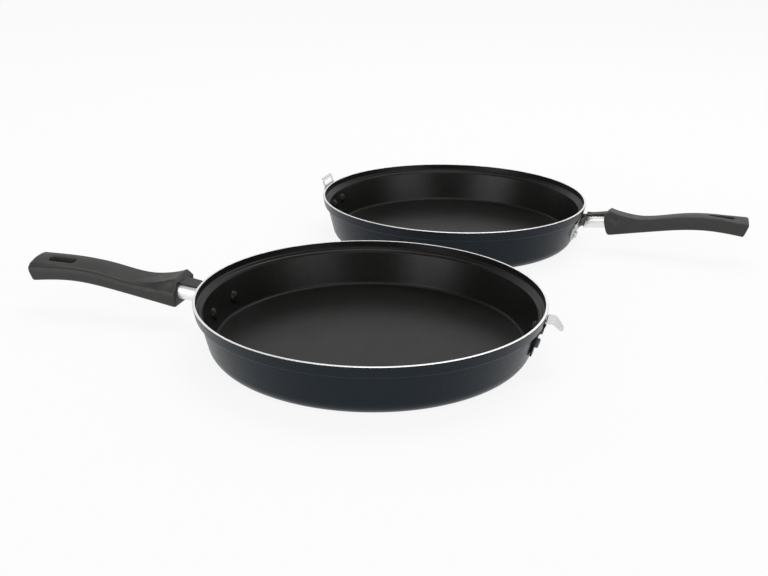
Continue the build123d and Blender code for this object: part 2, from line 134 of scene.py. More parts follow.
def new_finish(name, colour, metallic, roughness, **levels):
    """A material whose even values sit on the shader's own sockets."""
    finish = bpy.data.materials.new(name)
    finish.use_nodes = True
    shader = finish.node_tree.nodes["Principled BSDF"]
    shader.inputs["Base Color"].default_value = colour
    shader.inputs["Metallic"].default_value = metallic
    shader.inputs["Roughness"].default_value = roughness
    for socket, value in levels.items():
        shader.inputs[socket.replace("_", " ")].default_value = value
    return finish


def add_noise(finish, size, detail=2.0, stretch=(1, 1, 1)):
    """Noise on Object coordinates, with spots of about the given size in metres."""
    nodes, links = finish.node_tree.nodes, finish.node_tree.links
    place = nodes.new("ShaderNodeTexCoord")
    mapping = nodes.new("ShaderNodeMapping")
    mapping.inputs["Scale"].default_value = stretch
    noise = nodes.new("ShaderNodeTexNoise")
    noise.inputs["Scale"].default_value = 1 / size
    noise.inputs["Detail"].default_value = detail
    links.new(place.outputs["Object"], mapping.inputs["Vector"])
    links.new(mapping.outputs["Vector"], noise.inputs["Vector"])
    return noise.outputs["Fac"]


def add_range(finish, source, low, high, socket):
    """Spreads a grey source from its middle range over low to high, into a socket of the shader."""
    nodes, links = finish.node_tree.nodes, finish.node_tree.links
    spread = nodes.new("ShaderNodeMapRange")
    spread.inputs["From Min"].default_value = 0.3
    spread.inputs["From Max"].default_value = 0.7
    spread.inputs["To Min"].default_value = low
    spread.inputs["To Max"].default_value = high
    links.new(source, spread.inputs["Value"])
    links.new(spread.outputs["Result"], nodes["Principled BSDF"].inputs[socket])


def add_colours(finish, source, stops):
    """Turns a grey source into colours at the given places, for the shader's base colour."""
    nodes, links = finish.node_tree.nodes, finish.node_tree.links
    ramp = nodes.new("ShaderNodeValToRGB")
    elements = ramp.color_ramp.elements
    while len(elements) < len(stops):
        elements.new(0.5)
    for element, (place, colour) in zip(elements, stops):
        element.position = place
        element.color = colour
    links.new(source, ramp.inputs["Fac"])
    links.new(ramp.outputs["Color"], nodes["Principled BSDF"].inputs["Base Color"])


def add_bump(finish, sources, strength):
    """Bumps that follow each other: each source comes with its depth in metres."""
    nodes, links = finish.node_tree.nodes, finish.node_tree.links
    last = None
    for source, depth in sources:
        bump = nodes.new("ShaderNodeBump")
        bump.inputs["Strength"].default_value = strength
        bump.inputs["Distance"].default_value = depth
        links.new(source, bump.inputs["Height"])
        if last is not None:
            links.new(last, bump.inputs["Normal"])
        last = bump.outputs["Normal"]
    links.new(last, nodes["Principled BSDF"].inputs["Normal"])


def scaled(colour, share):
    """A colour made darker or lighter by a share."""
    return (colour[0] * share, colour[1] * share, colour[2] * share, 1)


lacquer = new_finish("dark_blue_grey_lacquer", lacquer_colour, 0.0, 0.28, Specular_IOR_Level=0.18)
add_colours(lacquer, add_noise(lacquer, 0.0006, 3), [
    (0.35, scaled(lacquer_colour, 0.85)), (0.65, scaled(lacquer_colour, 1.25)),
])
add_range(lacquer, add_noise(lacquer, 0.012, 3, (1, 1, 4)), 0.25, 0.33, "Roughness")
add_bump(lacquer, [(add_noise(lacquer, 0.0022, 2), 0.000012), (add_noise(lacquer, 0.0004, 1), 0.000004)], 0.6)

coating = new_finish("black_nonstick_coating", coating_colour, 0.0, 0.32, Specular_IOR_Level=0.21)
add_colours(coating, add_noise(coating, 0.00045, 1), [
    (0.30, scaled(coating_colour, 0.7)), (0.58, coating_colour),
    (0.68, scaled(coating_colour, 3.0)), (0.76, scaled(coating_colour, 7.0)),
])
add_range(coating, add_noise(coating, 0.02, 3), 0.30, 0.35, "Roughness")
add_bump(coating, [(add_noise(coating, 0.0016, 2), 0.00003), (add_noise(coating, 0.00065, 1), 0.00002)], 0.8)

bare_rim = new_finish("turned_bare_aluminium", rim_colour, 1.0, 0.38)
add_range(bare_rim, add_noise(bare_rim, 0.02, 1), 0.35, 0.42, "Roughness")

arc_steps = 9
side_shares = (0.02, 0.08, 0.2, 0.35, 0.5, 0.65, 0.8, 0.92, 0.98)
around_steps = 288
outer_rim_corner = 4
around = np.arange(around_steps) * 2 * pi / around_steps
for pan_name, pan in pans.items():
    depth = pan["depth"]
    ledge_radius = wall_radius(ledge_drop) - wall_across
    corners = np.array([
        (0, 0), (wall_radius(depth), 0), (wall_top_radius, depth - wall_top_drop),
        (band_foot_radius, depth - band_height), (rim_radius, depth), (rim_radius - rim_ring, depth),
        (ledge_radius + 4.6, depth - 4.8), (ledge_radius + 3.5, depth - 5.3),
        (ledge_radius + 2.4, depth - 6.6), (ledge_radius + 1.3, depth - 7.1),
        (ledge_radius, depth - ledge_drop),
        (wall_radius(depth - floor_height) - wall_across, floor_height), (0, floor_height),
    ])
    roundings = np.array([0, 12.2, 1.2, 1.25, 0.7, 0.25, 0.3, 0.35, 0.35, 0.35, 1.0, 2.4, 0])
    profile = join_arcs(round_corners(corners, roundings, arc_steps), side_shares)[:-len(side_shares)]
    points = np.stack((
        profile[:, :1] * np.cos(around),
        profile[:, :1] * np.sin(around),
        np.broadcast_to(profile[:, 1:], (len(profile), around_steps)),
    ), axis=-1)
    row = np.arange(len(profile) - 1)
    per_corner = arc_steps + len(side_shares)
    bare_from = outer_rim_corner * per_corner + arc_steps // 2
    coated_from = bare_from + per_corner
    finish_of_row = (row >= bare_from).astype(int) + (row >= coated_from)
    body = make_piece(
        f"{pan_name}_pan_body", set_down(points, pan), quads(len(profile), around_steps),
        [lacquer, bare_rim, coating], np.repeat(finish_of_row, around_steps),
    )
    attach(body, f"{pan_name}_pan")
    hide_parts(f"{pan_name}_pan_shell")


# ---- Handle brackets ----
# A steel pressing is riveted to the wall of each pan. Its flange follows the wall and runs in a
# small curve into the neck that carries the sleeve and the grip. The neck and the curve at its
# root are painted dark as painted shade, for the shadowed gap under the rim by the wall.
flange_thickness = 2.0
flange_half_width = 24.0
flange_top_drop = 10.5
flange_foot_drop = 31.0
flange_round = 8.0
edge_break = 0.6
neck_drop = 14.9
neck_root = 132.0
neck_rise = radians(5.5)
arm_size = (16.7, 9.9)
arm_round = 4.4
neck_drawn_to = 12.0
root_curve = 4.2
root_steps = 9
steel_colour = (0.50, 0.49, 0.48, 1)
# Painted shade: a darker steel colour for the neck and its root curve, which lie in shade under the rim.
neck_shade_steel_colour = (0.10, 0.085, 0.075, 1)


def box_outline(width, height, rounding, steps=8, shares=(0.1, 0.3, 0.5, 0.7, 0.9)):
    """A rectangle with round corners, as a closed row of points about its middle."""
    w, h = width / 2, height / 2
    corners = np.array([(w, -h), (w, h), (-w, h), (-w, -h)])
    return join_arcs(round_corners(corners, rounding, steps), shares)


def beside_wall(across, height, depth, standoff):
    """Points on the handle's side of the wall, at a distance from it: the cone's radius at that
    height, plus the distance over the cosine of the lean, turned about the pan's axis."""
    radius = wall_radius(depth - height) + standoff / cos(wall_lean)
    return np.stack((np.sqrt(radius ** 2 - across ** 2), across, height), axis=-1)


plain_steel = new_finish("plain_steel", steel_colour, 1.0, 0.3)
add_range(plain_steel, add_noise(plain_steel, 0.003, 3), 0.24, 0.38, "Roughness")
add_bump(plain_steel, [(add_noise(plain_steel, 0.003, 2), 0.00001)], 0.3)
# Steel with painted shade for the neck and its root curve, darker and rougher than the plain steel.
neck_shade_steel = new_finish("steel_with_painted_shade", neck_shade_steel_colour, 1.0, 0.4)
add_range(neck_shade_steel, add_noise(neck_shade_steel, 0.004, 3), 0.34, 0.5, "Roughness")
for pan_name, pan in pans.items():
    depth = pan["depth"]
    middle = depth - neck_drop
    arm = box_outline(*arm_size, arm_round) + (0, middle)
    curve_size = (arm_size[0] + 2 * root_curve, arm_size[1] + 2 * root_curve)
    curve_end = box_outline(*curve_size, arm_round + root_curve) + (0, middle)
    flange_height = flange_foot_drop - flange_top_drop
    flange_middle = (0, depth - flange_top_drop - flange_height / 2)
    flange_size = np.array([2 * flange_half_width, flange_height])
    flange = box_outline(*flange_size, flange_round) + flange_middle
    inner_flange = box_outline(*(flange_size - 2 * edge_break), flange_round - edge_break) + flange_middle
    curve_end[:, 1] = np.minimum(curve_end[:, 1], depth - flange_top_drop - edge_break - 0.1)
    turn = np.linspace(0, pi / 2, root_steps)[:, None]
    fillet = arm + (curve_end - arm) * (1 - np.cos(turn))[..., None]
    fillet_standoff = flange_thickness + root_curve * (1 - np.sin(turn)) * np.ones(len(arm))
    rows = [
        (arm, np.full(len(arm), neck_drawn_to)),
        (arm, np.full(len(arm), flange_thickness + root_curve + 0.3)),
        *zip(fillet, fillet_standoff),
        ((curve_end + inner_flange) / 2, np.full(len(arm), flange_thickness)),
        (inner_flange, np.full(len(arm), flange_thickness)),
        (inner_flange * 0.3 + flange * 0.7, np.full(len(arm), flange_thickness - edge_break / 3)),
        (flange, np.full(len(arm), flange_thickness - edge_break)),
        (flange, np.full(len(arm), 0.05)),
    ]
    sections = []
    for row, standoff in rows:
        lift = standoff * tan(neck_rise) * (standoff > flange_thickness)
        sections.append(beside_wall(row[:, 0], row[:, 1] + lift, depth, standoff))
    points = np.stack(sections)
    # The neck and root-curve rows take the steel with painted shade; the flange rows take plain steel.
    painted_shade_rows = np.arange(len(rows) - 1) <= root_steps
    bracket = make_piece(
        f"{pan_name}_pan_handle_bracket", set_down(points, pan), quads(len(rows), len(arm))[:, ::-1],
        [plain_steel, neck_shade_steel], np.repeat(painted_shade_rows, len(arm)), sharp=50,
    )
    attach(bracket, f"{pan_name}_pan")
    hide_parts(f"{pan_name}_pan_bracket")


# ---- Bracket rivets ----
# Two aluminium rivets go through each pan's wall and bracket. Their domed heads inside carry the
# pan's black coating, and their flat tails are upset outside.
rivet_colour = (0.62, 0.62, 0.61, 1)
head_radius, head_height = 5.0, 2.6
tail_radius, tail_height = 3.6, 2.4
bracket_rivet_side, bracket_rivet_drop = 19.5, 23.5
shank_radius = 2.5
head_seat = 2.9
head_steps = 9
tail_rounds = np.array([0.05, 1.0, 0.0, 0.0])
tail_steps = 7
rivet_spokes = 40
rivet_aluminium = new_finish("rivet_aluminium", rivet_colour, 1.0, 0.34)
add_bump(rivet_aluminium, [(add_noise(rivet_aluminium, 0.002, 2), 0.00001)], 0.3)


def rivet_rings(depth, side, drop, thickness, opposite):
    """Head and tail of two rivets, left and right of the handle's plane or of the plane opposite.
    Their profile is turned about the wall's own normal where the rivet goes through."""
    head_angle = np.linspace(pi / 2, 0, head_steps)
    dome = -head_seat - head_height * np.sin(head_angle)
    head = np.stack((head_radius * np.cos(head_angle), dome), axis=-1)
    tail_top = thickness + tail_height
    tail = np.array([(tail_radius, thickness), (tail_radius, tail_top), (0, tail_top), (0, thickness)])
    tail = join_arcs(round_corners(tail, tail_rounds, tail_steps), (0.5,))[:-(tail_steps + 2)]
    profile = np.concatenate((head, [(shank_radius, -head_seat), (shank_radius, thickness)], tail))
    spin = np.arange(rivet_spokes) * 2 * pi / rivet_spokes
    radius = wall_radius(drop)
    both = []
    for sign in (1, -1):
        turn = sign * asin(side / radius) + (pi if opposite else 0)
        outward = np.array([cos(turn) * cos(wall_lean), sin(turn) * cos(wall_lean), -sin(wall_lean)])
        level = np.array([-sin(turn), cos(turn), 0])
        upright = np.cross(outward, level)
        spot = np.array([radius * cos(turn), radius * sin(turn), depth - drop])
        spoke = np.cos(spin)[:, None] * level + np.sin(spin)[:, None] * upright
        both.append(spot + profile[:, 1, None, None] * outward + profile[:, 0, None, None] * spoke)
    return np.stack(both)


def make_rivets(name, pan, tail_finish, rings):
    """A pair of rivets as one piece, coated on the head and finished otherwise from there on."""
    pair, rows, columns = rings.shape[:3]
    faces = quads(rows, columns)
    faces = np.concatenate([faces + number * rows * columns for number in range(pair)])
    choice = np.tile(np.repeat((np.arange(rows - 1) >= head_steps).astype(int), columns), pair)
    return make_piece(name, set_down(rings, pan), faces, [coating, tail_finish], choice, sharp=50)


for pan_name, pan in pans.items():
    rings = rivet_rings(
        pan["depth"], bracket_rivet_side, bracket_rivet_drop, flange_thickness, opposite=False,
    )
    rivets = make_rivets(f"{pan_name}_pan_bracket_rivet_pair", pan, rivet_aluminium, rings)
    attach(rivets, f"{pan_name}_pan")
    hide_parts(f"{pan_name}_pan_bracket_rivets")


# ---- Sleeves ----
# A bright drawn sleeve covers the neck between the pan and the grip. Its pan end is cut to
# follow the wall, and its other end sits in the socket of the grip.
sleeve_size = (19.0, 12.2)
sleeve_round = 5.6
sleeve_wall = 1.0
sleeve_standoff = 6.7
sleeve_length = 22.2
sleeve_colour = (0.88, 0.88, 0.87, 1)


def along_neck(section, reach, depth):
    """Points of a section square to the neck, at distances from the neck's root."""
    forward = np.array([cos(neck_rise), 0, sin(neck_rise)])
    upward = np.array([-sin(neck_rise), 0, cos(neck_rise)])
    root = np.array([neck_root, 0, depth - neck_drop])
    sideways = np.array([0, 1, 0])
    return root + reach[..., None] * forward + section[..., :1] * sideways + section[..., 1:] * upward


bright_sleeve = new_finish("bright_drawn_steel", sleeve_colour, 1.0, 0.42)
add_range(bright_sleeve, add_noise(bright_sleeve, 0.0015, 3, (0.06, 1, 1)), 0.36, 0.48, "Roughness")
add_bump(bright_sleeve, [(add_noise(bright_sleeve, 0.0008, 2, (0.05, 1, 1)), 0.000008)], 0.5)
for pan_name, pan in pans.items():
    depth = pan["depth"]
    outer = box_outline(*sleeve_size, sleeve_round, steps=14)
    inset = [sleeve_wall, sleeve_wall, 0.75 * sleeve_wall, 0.5 * sleeve_wall, 0.25 * sleeve_wall, 0, 0, 0]
    start = np.full(len(outer), -6.0)
    # Each round slides the sleeve's pan end along the neck by what it still lacks to the wall.
    for _ in range(4):
        reached = along_neck(outer, start, depth)
        wanted = beside_wall(reached[:, 1], reached[:, 2], depth, sleeve_standoff)
        start = start + (wanted[:, 0] - reached[:, 0]) / cos(neck_rise)
    ahead = [6.0, 0.4, 0.1, 0.0, 0.1, 0.4, 6.0, 12.0]
    sections = [
        box_outline(sleeve_size[0] - 2 * step, sleeve_size[1] - 2 * step, sleeve_round - step, steps=14)
        for step in inset
    ]
    points = [along_neck(section, start + distance, depth) for section, distance in zip(sections, ahead)]
    points.append(along_neck(outer, np.full(len(outer), sleeve_length), depth))
    sleeve = make_piece(
        f"{pan_name}_pan_neck_sleeve", set_down(np.stack(points), pan), quads(len(points), len(outer)),
        [bright_sleeve], sharp=60,
    )
    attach(sleeve, f"{pan_name}_pan")
    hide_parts(f"{pan_name}_pan_sleeve")


# ---- Grips ----
# One dark phenolic moulding on each neck: a tongue over the sleeve, a thumb ridge with a hollow
# at each side, an upper face that leans to one side, and a hanging slot through its end.
head_reach = 150.3
grip_length = 130.7
ridge_setback = 3.7
ridge_rise = 3.3
kink_drop = 4.9
foot_setback = 2.4
foot_drop = 25.0
foot_round = 4.5
foot_lift = 1.6
tip_undercut = 5.4
tip_depth = 15.0
tip_corner = 1.3
tip_round = 4.0
tip_fall = 1.5
end_round = 1.3
face_lean = tan(radians(5.2))
face_half = 8.2
face_share = face_half / 13.2
edge_inset = 1.1
crown = 1.0
head_skew = tan(radians(8.5))
hollow_reach, hollow_drop = 157.5, 8.5
tip_side_drop = {"hook": 0.0, "loop": 3.4}
grip_corner_rounds = np.array([1.5, 8.0, 3.0, 3.0, 8.0, 2.2, 3.0])
tongue_root = 131.8
tongue_top_drop = 8.2
tongue_rise = 3.3 / 19.2
tongue_over_neck = 6.35
tongue_half_width = 6.4
grip_colour = (0.022, 0.022, 0.0207, 1)


def curve_through(places, knots, heights, first_slope, last_slope):
    """The smoothest cubic curve through the knots with given end slopes: the slopes in between
    make its bending continuous, and each span is a cubic between two heights and slopes."""
    knots, heights = np.asarray(knots, float), np.asarray(heights, float)
    span = np.diff(knots)
    rise = np.diff(heights) / span
    size = len(knots)
    system, wanted = np.eye(size), np.zeros(size)
    wanted[0], wanted[-1] = first_slope, last_slope
    inner = np.arange(1, size - 1)
    system[inner, inner - 1] = span[1:]
    system[inner, inner] = 2 * (span[:-1] + span[1:])
    system[inner, inner + 1] = span[:-1]
    wanted[inner] = 3 * (span[1:] * rise[:-1] + span[:-1] * rise[1:])
    slopes = np.linalg.solve(system, wanted)
    cell = np.clip(np.searchsorted(knots, places) - 1, 0, size - 2)
    share = (places - knots[cell]) / span[cell]
    return (
        heights[cell] * (1 + 2 * share) * (1 - share) ** 2 + heights[cell + 1] * share ** 2 * (3 - 2 * share)
        + span[cell] * (slopes[cell] * share * (1 - share) ** 2 + slopes[cell + 1] * share ** 2 * (share - 1))
    )


def grip_rows(side_drop):
    """Sections of the grip from its head to its tip, as seven rounded corners each, with heights
    from the rim.  The ends are drawn in to round their edges, then closed to a pole.  The upper
    edge at one side falls towards the tip by the given drop, along a bell curve."""
    ease = np.linspace(0, pi / 2, 7)
    tip = head_reach + grip_length
    station = np.concatenate((
        head_reach + end_round * (1 - np.cos(ease)),
        np.linspace(head_reach + end_round, tip - tip_corner, 150)[1:-1],
        tip - tip_corner + tip_corner * np.sin(np.linspace(0, pi / 2, 16)),
    ))
    near_head = np.exp(-(station - head_reach) / 9)
    near_tip = np.exp(-(tip - station) / 12)
    over = station + ridge_setback * near_head
    under = station + foot_setback * near_head - tip_undercut * near_tip
    top_knots, top_heights = (154, 168, 183, 215, 246, 281), (-1.6, -5.4, -7.1, -2.9, -0.1, -0.2)
    top = curve_through(over, top_knots, top_heights, -0.34, 0.0)
    bottom = curve_through(under, (152.7, 200, 241, 275.6), (-foot_drop, -17.0, -12.3, -15.2), 0.17, -0.14)
    in_tip = np.clip((station - tip + tip_round) / tip_round, 0, 1)
    top = top - tip_fall * (1 - np.sqrt(1 - in_tip ** 2))
    in_foot = np.clip((head_reach + foot_round - station) / foot_round, 0, 1)
    bottom = bottom + foot_lift * (1 - np.sqrt(1 - in_foot ** 2))
    half = curve_through(station, (131.8, 198, 281), (14.0, 13.0, 14.2), 0.0, 0.0)
    strip = curve_through(over, (154, 164, 177, 193, 245, 281), (9.2, 6.2, 2.3, 0.5, 0.5, 2.6), -0.3, 0.06)
    upper_line = top - face_lean * face_half
    high_edge = top + face_lean * (half - edge_inset) - side_drop * np.exp(-((tip - station) / 28) ** 2)
    mid = (top + bottom) / 2
    corners = np.stack((
        np.stack((edge_inset - half, high_edge), -1),
        np.stack((-half, mid + 1.5), -1),
        np.stack((-half + 1.0, bottom), -1),
        np.stack((half - 1.0, bottom), -1),
        np.stack((half, mid + 0.5), -1),
        np.stack((half - 0.7, upper_line - strip), -1),
        np.stack((face_share * half, upper_line), -1),
    ), axis=1)
    shares = np.linspace(0, 1, 18)[1:-1]
    shares = np.concatenate(([0.02], shares, [0.98]))
    rows = join_arcs(round_corners(corners, grip_corner_rounds, 7), shares)
    from_head = np.clip(1 - (station - head_reach) / end_round, 0, 1)
    inset = np.maximum(0, end_round * (1 - np.sin(np.arccos(from_head))))
    past = np.clip(station - (tip - tip_corner), 0, tip_corner)
    side_inset = inset + tip_corner - np.sqrt(np.maximum(tip_corner ** 2 - past ** 2, 0))
    edge = np.clip(station - (tip - end_round), 0, end_round)
    level_inset = inset + end_round - np.sqrt(np.maximum(end_round ** 2 - edge ** 2, 0))
    across = rows[..., 0] * (1 - side_inset / half)[:, None]
    height = mid[:, None] + (rows[..., 1] - mid[:, None]) * (1 - 2 * level_inset / (top - bottom))[:, None]
    swell = np.clip((station - 185) / 30, 0, 1)[:, None] * np.clip(1 - ((across + 2.5) / 10.5) ** 2, 0, 1)
    height = height + crown * swell * np.clip((height - mid[:, None]) / (top - mid)[:, None], 0, 1) ** 4
    above = np.maximum(height + kink_drop, 0)
    below = np.clip((-kink_drop - height) / (foot_drop - kink_drop), 0, 1) ** 2
    head_shift = ridge_setback * above / ridge_rise + foot_setback * below
    tip_shift = -tip_undercut * np.maximum(top_heights[-1] - height, 0) / tip_depth
    from_tip = np.clip((tip - 20 - station) / 60, 0, 1)
    turned = head_skew * across * (from_tip ** 2 * (3 - 2 * from_tip))[:, None] * (1 - below)
    reach = station[:, None] + head_shift * near_head[:, None] + tip_shift * near_tip[:, None] + turned
    hollow = np.exp(-((reach - hollow_reach) / 3.4) ** 2 - ((height + hollow_drop) / 4.2) ** 2)
    across = across * (1 - np.where(across < 0, 0.16, 0.09) * hollow)
    points = np.stack((reach, across, height), axis=-1)
    head_pole = np.array([head_reach, 0, -kink_drop])
    tip_pole = points[-1].mean(axis=0)
    tip_pole[0] = tip - tip_undercut * (top_heights[-1] - tip_pole[2]) / tip_depth
    close = np.array([0.0, 0.35, 0.7, 0.9])[:, None, None]
    head_cap = head_pole + (points[0] - head_pole) * close
    tip_cap = tip_pole + (points[-1] - tip_pole) * close[::-1]
    return np.concatenate((head_cap, points, tip_cap))


def soften_slot(points):
    """Lowers the faces near the hanging slot, by a bell curve of the distance from its outline."""
    past_end = np.maximum(np.abs(points[..., 0] - slot_reach) - (slot_length - slot_width) / 2, 0)
    distance = np.abs(np.hypot(past_end, points[..., 1]) - slot_width / 2)
    sink = slot_sink * np.exp(-(distance / slot_sink_reach) ** 2)
    points[..., 2] -= np.sign(points[..., 2] + tip_depth / 2) * sink
    return points


def prism(outline, low, high):
    """A closed prism of an outline in a plane, as a grid whose end rows fall on the middle."""
    rows = [np.column_stack((outline, np.full(len(outline), level))) for level in (low, high)]
    caps = [np.broadcast_to(row.mean(axis=0), row.shape) for row in rows]
    return np.stack((caps[0], rows[0], rows[1], caps[1]))


slot_reach = 255.5
slot_length = 23.5
slot_width = 7.5
slot_sink, slot_sink_reach = 0.55, 0.9
screw_reach = 163.0
bore_radius = 4.7
bore_spokes = 36
phenolic = new_finish("dark_phenolic", grip_colour, 0.0, 0.4, Specular_IOR_Level=0.42)
add_colours(phenolic, add_noise(phenolic, 0.0009, 3), [
    (0.3, scaled(grip_colour, 0.9)), (0.7, scaled(grip_colour, 1.12)),
])
add_range(phenolic, add_noise(phenolic, 0.006, 3), 0.45, 0.55, "Roughness")
add_bump(phenolic, [(add_noise(phenolic, 0.0007, 2), 0.00001), (add_noise(phenolic, 0.005, 1), 0.00003)], 0.5)
for pan_name, pan in pans.items():
    lift = np.array([0, 0, pan["depth"]])
    rows = soften_slot(grip_rows(tip_side_drop[pan_name]))
    grip_points = rows + lift
    tongue_reach = np.array([tongue_root - 0.1, tongue_root, tongue_root + 0.4, 140.0, 146.0, head_reach + 4])
    tongue_top = -tongue_top_drop + tongue_rise * (tongue_reach - tongue_root)
    tongue_foot = -neck_drop + tongue_over_neck + (tongue_reach - neck_root) * tan(neck_rise)
    tongue_inset = np.array([0.5, 0.15, 0, 0, 0, 0])
    tongue_half = tongue_half_width - tongue_inset
    tongue_lean = face_lean * (tongue_half_width - 0.2)
    corners = np.stack((
        np.stack((-tongue_half, tongue_top - tongue_inset + tongue_lean), -1),
        np.stack((-tongue_half, tongue_foot), -1),
        np.stack((tongue_half, tongue_foot), -1),
        np.stack((tongue_half, tongue_top - tongue_inset - tongue_lean), -1),
    ), axis=1)
    outline = join_arcs(round_corners(corners, np.array([0.7, 0.2, 0.2, 0.7]), 5), (0.1, 0.5, 0.9))
    along = np.broadcast_to(tongue_reach[:, None, None], outline.shape[:2] + (1,))
    tongue = np.concatenate((along, outline), axis=-1)
    tongue_cap = np.broadcast_to(tongue[0].mean(axis=0), tongue[:1].shape)
    tongue_end = np.broadcast_to(tongue[-1].mean(axis=0), tongue[:1].shape)
    tongue_points = np.concatenate((tongue_cap, tongue, tongue_end)) + lift
    slot_arc = np.linspace(-pi / 2, pi / 2, 20)
    slot_end = slot_width / 2 * np.stack((np.cos(slot_arc), np.sin(slot_arc)), -1)
    slot_end[:, 0] += (slot_length - slot_width) / 2
    slot_outline = np.concatenate((slot_end, -slot_end)) + (slot_reach, 0)
    slot_cutter = prism(slot_outline, -30.0, 10.0) + lift
    spin = np.arange(bore_spokes) * 2 * pi / bore_spokes
    bore_outline = bore_radius * np.stack((np.cos(spin), np.sin(spin)), -1)
    bore = prism(bore_outline, -25.0, -5.0)
    tilt = np.array([[cos(neck_rise), 0, sin(neck_rise)], [0, 1, 0], [-sin(neck_rise), 0, cos(neck_rise)]])
    screw_middle = (screw_reach, 0, -neck_drop + (screw_reach - neck_root) * tan(neck_rise))
    bore = bore @ tilt.T + screw_middle + lift
    grip = make_piece(
        f"{pan_name}_pan_moulded_grip", set_down(grip_points, pan), quads(*grip_points.shape[:2]),
        [phenolic], sharp=40,
    )
    for cutter_name, cutter_points in (("slot", slot_cutter), ("bore", bore)):
        cutter_faces = quads(*cutter_points.shape[:2])
        cutter = make_piece(cutter_name, set_down(cutter_points, pan), cutter_faces, [phenolic])
        cut = grip.modifiers.new(cutter_name, "BOOLEAN")
        cut.operation = "DIFFERENCE"
        cut.solver = "EXACT"
        cut.object = cutter
        finished = bpy.data.meshes.new_from_object(grip.evaluated_get(bpy.context.evaluated_depsgraph_get()))
        grip.modifiers.clear()
        grip.data = finished
        bpy.data.objects.remove(cutter)
    grip.data.shade_smooth()
    grip.data.set_sharp_from_angle(angle=radians(40))
    tongue_piece = make_piece(
        f"{pan_name}_pan_grip_tongue", set_down(tongue_points, pan), quads(*tongue_points.shape[:2]),
        [phenolic], sharp=50,
    )
    for piece in (grip, tongue_piece):
        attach(piece, f"{pan_name}_pan")
    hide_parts(f"{pan_name}_pan_grip")


# ---- Grip fasteners ----
# A zinc plated slotted screw goes up through each grip into a nut on the neck's flat end, with a
# spring washer under its head. They sit deep in the moulding.
zinc = new_finish("zinc_plating", (0.58, 0.59, 0.6, 1), 1.0, 0.32)
add_range(zinc, add_noise(zinc, 0.002, 3), 0.25, 0.42, "Roughness")
for pan_name in pans:
    for part in ("screw", "washer", "nut"):
        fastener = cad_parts[f"{pan_name}_pan_grip_{part}"]
        fastener.data.materials.clear()
        fastener.data.materials.append(zinc)


# ---- Hook plate ----
# A bent steel sheet is riveted to the hook pan's wall, opposite the handle. It steps out over
# the band and ends in a tongue that turns down. It is lacquered with the wall up to the band.
sheet_thickness = 1.2
sheet_step = 0.35
plate_half_width = 18.0
plate_foot_drop = 28.5
plate_top_drop = 10.5
plate_corner = 4.0
curve_share = 0.6
sheet_colour = (0.74, 0.74, 0.73, 1)
strap_half_width = 6.0
hook_half_width = 8.0
hook_narrowing = 4.0
hook_even_run = 5.5
hook_tip_run = 2.0
hook_tip_narrowing = 0.45
hook_start_reach = 130.2
hook_lacquer_drop = 6.5
hook_corners = (
    (wall_radius(plate_foot_drop) + 0.3, -plate_foot_drop), (wall_radius(11.5) + 0.2, -11.5),
    (128.6, -8.5), (129.4, -4.0), (135.4, -4.5), (141.8, -11.2),
)
hook_roundings = (0, 2.2, 2.2, 1.0, 3.5, 0)


def bent_path(corners, roundings, step):
    """A line with round bends, in even steps: the arcs and sides are measured along and shared out."""
    corners, roundings = np.array(corners), np.array(roundings)
    bends = round_corners(corners, roundings, 12)
    line = np.concatenate((corners[:1], bends[1:-1].reshape(-1, 2), corners[-1:]))
    run = np.concatenate(([0], np.cumsum(np.linalg.norm(np.diff(line, axis=0), axis=1))))
    even = np.linspace(0, run[-1], int(run[-1] / step) + 2)
    return np.stack((np.interp(even, run, line[:, 0]), np.interp(even, run, line[:, 1])), -1), even


def rounded_width(place, low, high, half, corner):
    """Half width of a strip from low to high whose ends have round corners."""
    from_end = np.minimum(place - low, high - place)
    short = np.clip(corner - from_end, 0, corner)
    return half - corner + np.sqrt(corner ** 2 - short ** 2)


def sheet_points(path, across, curved):
    """Points of a sheet that stands on the side opposite the handle.  Curved rows bend about the
    pan's axis: their reach falls by the radius less the root of its square less the offset's."""
    reach, height = path[:, :1], path[:, 1:]
    fall = reach - np.sqrt(reach ** 2 - across ** 2)
    bent = reach - curved[:, None] * fall
    return np.stack((-bent, -across, np.broadcast_to(height, across.shape)), axis=-1)


def thicken(piece, thickness):
    """Gives a sheet its thickness outwards and breaks its edges."""
    solid = piece.modifiers.new("thickness", "SOLIDIFY")
    solid.thickness = thickness / 1000
    solid.offset = 1
    edge = piece.modifiers.new("broken_edges", "BEVEL")
    edge.width = 0.0002
    edge.segments = 2
    edge.limit_method = "ANGLE"
    edge.angle_limit = radians(50)


sheet_steel = new_finish("bare_sheet_steel", sheet_colour, 1.0, 0.3)
add_range(sheet_steel, add_noise(sheet_steel, 0.0025, 3), 0.25, 0.38, "Roughness")
add_bump(sheet_steel, [(add_noise(sheet_steel, 0.0012, 2), 0.000012)], 0.4)
hook_pan = pans["hook"]
path, run = bent_path(hook_corners, hook_roundings, sheet_step)
hook_start = run[np.argmax(path[:, 0] > hook_start_reach)]
on_wall = (path[:, 1] < -plate_top_drop) & (run < hook_start)
wall_half = rounded_width(path[:, 1], -plate_foot_drop, -plate_top_drop + 0.1, plate_half_width, plate_corner)
past_even = (run - hook_start - hook_even_run) / (run[-1] - hook_start - hook_even_run)
hook_half = hook_half_width - hook_narrowing * np.clip(past_even, 0, 1) ** 1.5
tip_share = np.clip((run - (run[-1] - hook_tip_run)) / hook_tip_run, 0, 1)
hook_half = hook_half * (1 - hook_tip_narrowing * (1 - np.sqrt(1 - tip_share ** 2)))
half = np.where(on_wall, wall_half, np.where(run < hook_start, strap_half_width, hook_half))
columns = np.linspace(-1, 1, 25)
points = sheet_points(path, half[:, None] * columns, np.where(run < hook_start, curve_share, 0.0))
